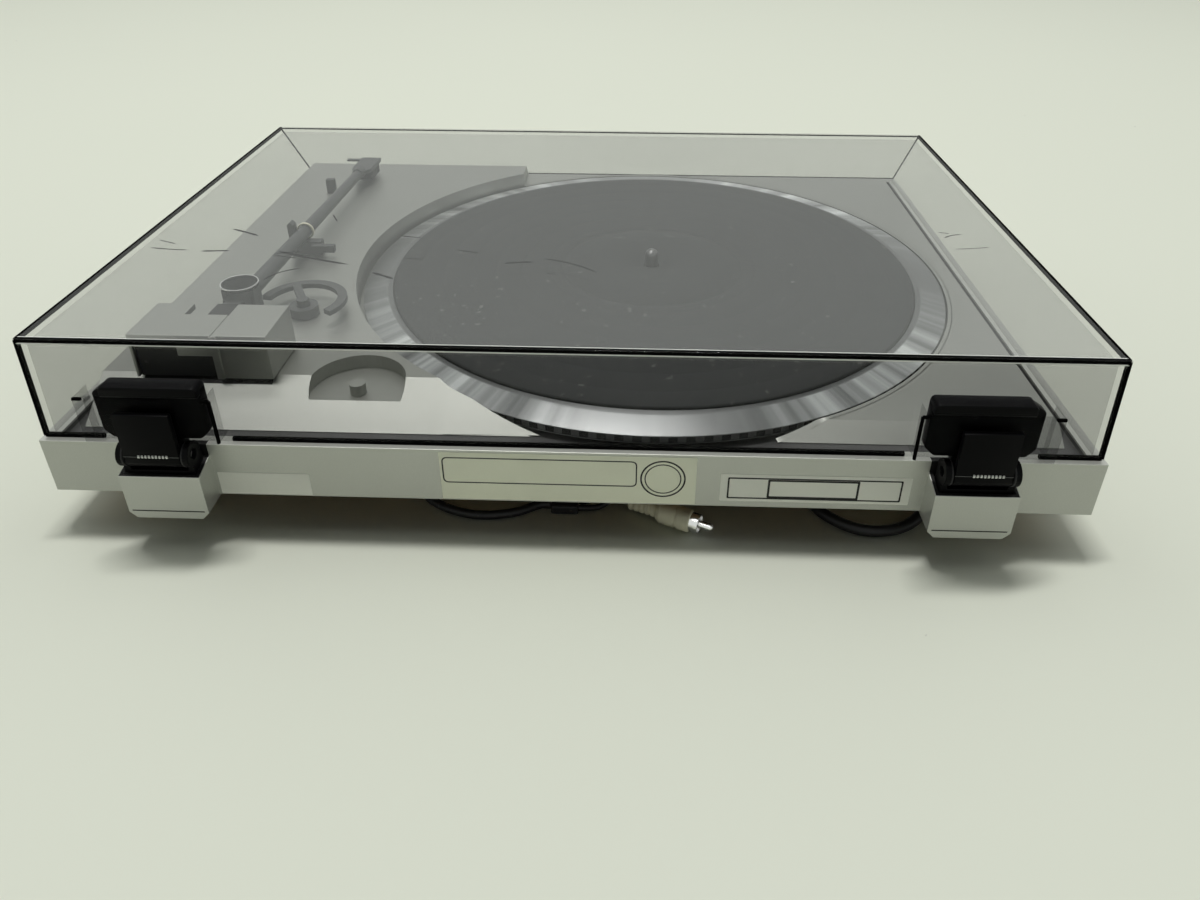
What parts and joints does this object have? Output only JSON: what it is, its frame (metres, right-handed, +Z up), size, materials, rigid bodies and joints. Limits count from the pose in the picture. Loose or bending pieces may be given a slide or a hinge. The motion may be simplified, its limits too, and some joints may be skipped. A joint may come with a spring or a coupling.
{
  "type": "direct drive turntable",
  "caption": "Low silver direct drive turntable under a smoke-tinted hinged dust cover, with a straight dark tonearm, a rubber mat, front buttons and two leads.",
  "frame": {"origin": "centre of the bottom of the box round the turntable without its leads, on the plane that the feet stand on", "axes": "+Z up, +X towards the tonearm side (right as seen from the front), -Y towards the user, +Y towards the hinges"},
  "size_m": [0.436, 0.3628, 0.0913],
  "materials": {
    "cabinet_paint": "satin",
    "bright_aluminium": "satin",
    "steel": "satin",
    "black_gloss": "gloss",
    "black_matte": "matte",
    "arm_grey": "satin",
    "rubber": "matte",
    "smoke_cover": "gloss",
    "fibre_board": "matte",
    "transformer_steel": "matte",
    "magnet": "matte",
    "coil_wire": "satin",
    "circuit_board": "matte",
    "cream_plastic": "satin",
    "lead_sheath": "satin"
  },
  "bodies": {
    "chassis": {"cabinet": "cabinet_paint", "deck": "cabinet_paint", "arm_cover": "cabinet_paint", "front_panel": "bright_aluminium", "hinge_pin_left": "steel", "hinge_pin_right": "steel", "arm_pillar": "steel", "spindle_bearing": "steel", "hinge_bracket_left": "black_gloss", "hinge_bracket_right": "black_gloss", "arm_cover_back": "black_matte", "mains_lead_clamp": "black_matte", "audio_lead_clamp": "black_matte", "mains_plug": "black_matte", "audio_joiner": "black_matte", "thrust_pad": "black_matte", "arm_rest": "arm_grey", "lift_housing": "arm_grey", "foot_front_left": "rubber", "foot_front_right": "rubber", "foot_rear_left": "rubber", "foot_rear_right": "rubber", "bottom_board": "fibre_board", "transformer": "transformer_steel", "motor_stator": "coil_wire", "control_board": "circuit_board", "phono_plug_a": "cream_plastic", "phono_plug_b": "cream_plastic", "mains_lead_run": "lead_sheath", "mains_lead_coil": "lead_sheath", "mains_lead_tail": "lead_sheath", "audio_lead_run": "lead_sheath", "audio_lead_coil": "lead_sheath", "audio_lead_tail": "lead_sheath", "audio_tail_a": "lead_sheath", "audio_tail_b": "lead_sheath"},
    "cover": {"dust_cover": "smoke_cover", "hinge_leaf_left": "black_gloss", "hinge_leaf_right": "black_gloss"},
    "platter": {"platter": "bright_aluminium", "platter_mat": "rubber", "spindle": "steel", "rotor_magnet": "magnet"},
    "gimbal": {"arm_gimbal": "steel", "pivot_cap": "black_gloss"},
    "arm": {"arm_hub": "arm_grey", "arm_tube": "arm_grey", "arm_collar": "cream_plastic", "headshell": "arm_grey", "cartridge": "black_matte", "stylus": "black_matte"},
    "counterweight": {"counterweight": "black_matte"},
    "lifter": {"lift_arc": "arm_grey"},
    "cue_lever": {"cue_lever": "arm_grey"},
    "clip": {"arm_clip": "arm_grey"},
    "power_button": {"power_button": "black_gloss"},
    "speed_33_button": {"speed_33_button": "black_gloss"},
    "speed_45_button": {"speed_45_button": "black_gloss"},
    "stop_button": {"stop_button": "black_gloss"},
    "pitch_knob": {"pitch_knob": "black_gloss"}
  },
  "joints": [
    {"name": "cover_hinge", "type": "hinge", "parent": "chassis", "child": "cover", "pos_m": [0, 0.1759, 0.0445], "axis": [-1, 0, 0], "range_deg": [0, 65]},
    {"name": "platter_spin", "type": "hinge", "parent": "chassis", "child": "platter", "pos_m": [-0.0367, 0.0013, 0.045], "axis": [0, 0, 1], "continuous": true},
    {"name": "arm_swing", "type": "hinge", "parent": "chassis", "child": "gimbal", "pos_m": [0.1595, 0.0889, 0.07], "axis": [0, 0, -1], "range_deg": [0, 48]},
    {"name": "arm_tilt", "type": "hinge", "parent": "gimbal", "child": "arm", "pos_m": [0.1595, 0.0889, 0.07], "axis": [-1, 0.0052, 0], "range_deg": [0, 1.5]},
    {"name": "counterweight_slide", "type": "slide", "parent": "arm", "child": "counterweight", "axis": [0.0052, 0.9998, 0.0192], "range_m": [0, 0.003]},
    {"name": "cue_lever_lean", "type": "hinge", "parent": "chassis", "child": "cue_lever", "pos_m": [0.175, -0.0921, 0.053], "axis": [1, 0, 0], "range_deg": [0, 40]},
    {"name": "lifter_slide", "type": "slide", "parent": "chassis", "child": "lifter", "axis": [0, 0, 1], "range_m": [0, 0.0008]},
    {"name": "clip_fold", "type": "hinge", "parent": "chassis", "child": "clip", "pos_m": [0.1517, 0.0087, 0.06162], "axis": [0, 1, 0], "range_deg": [0, 90]},
    {"name": "power_button_press", "type": "slide", "parent": "chassis", "child": "power_button", "axis": [0, 0.9135, -0.4067], "range_m": [0, 0.0015], "stiffness_N_per_m": 400},
    {"name": "speed_33_button_press", "type": "slide", "parent": "chassis", "child": "speed_33_button", "axis": [0, 0.9135, -0.4067], "range_m": [0, 0.0015], "stiffness_N_per_m": 400},
    {"name": "speed_45_button_press", "type": "slide", "parent": "chassis", "child": "speed_45_button", "axis": [0, 0.9135, -0.4067], "range_m": [0, 0.0015], "stiffness_N_per_m": 400},
    {"name": "stop_button_press", "type": "slide", "parent": "chassis", "child": "stop_button", "axis": [0, 0.9135, -0.4067], "range_m": [0, 0.0015], "stiffness_N_per_m": 400},
    {"name": "pitch_turn", "type": "hinge", "parent": "chassis", "child": "pitch_knob", "pos_m": [0.014, -0.17407, 0.03395], "axis": [0, -0.9135, 0.4067], "range_deg": [-135, 135]}
  ],
  "couplings": [
    {"joint": "lifter_slide", "follows": "cue_lever_lean", "m_per_rad": 0.001145},
    {"joint": "arm_tilt", "follows": "cue_lever_lean", "ratio": 0.0374}
  ]
}
